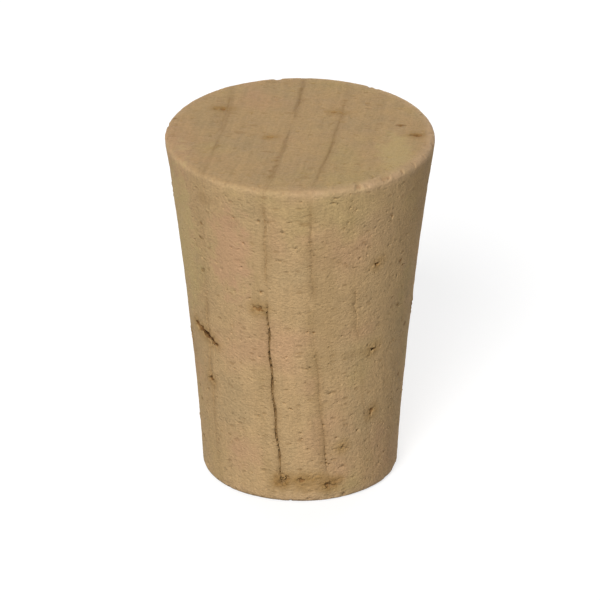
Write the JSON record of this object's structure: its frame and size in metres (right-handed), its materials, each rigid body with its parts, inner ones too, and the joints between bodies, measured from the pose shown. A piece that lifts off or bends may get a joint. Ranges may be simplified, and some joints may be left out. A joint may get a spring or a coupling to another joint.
{
  "type": "cork stopper",
  "caption": "Tapered natural cork stopper with worn rims, growth ring lines, open lenticel pits and a fine shrinkage crack; stands on its small end.",
  "frame": {"origin": "centre of the small end's face", "axes": "+Z along the stopper towards its wide end; +X outwards through the bark, across the growth rings; -Y is the flank with the crack"},
  "size_m": [0.0178, 0.0178, 0.0242],
  "materials": {
    "cork": "dry cut natural cork, matt, with brown pores and faint growth ring lines"
  },
  "bodies": {
    "root": {"stopper": "cork"}
  },
  "joints": []
}
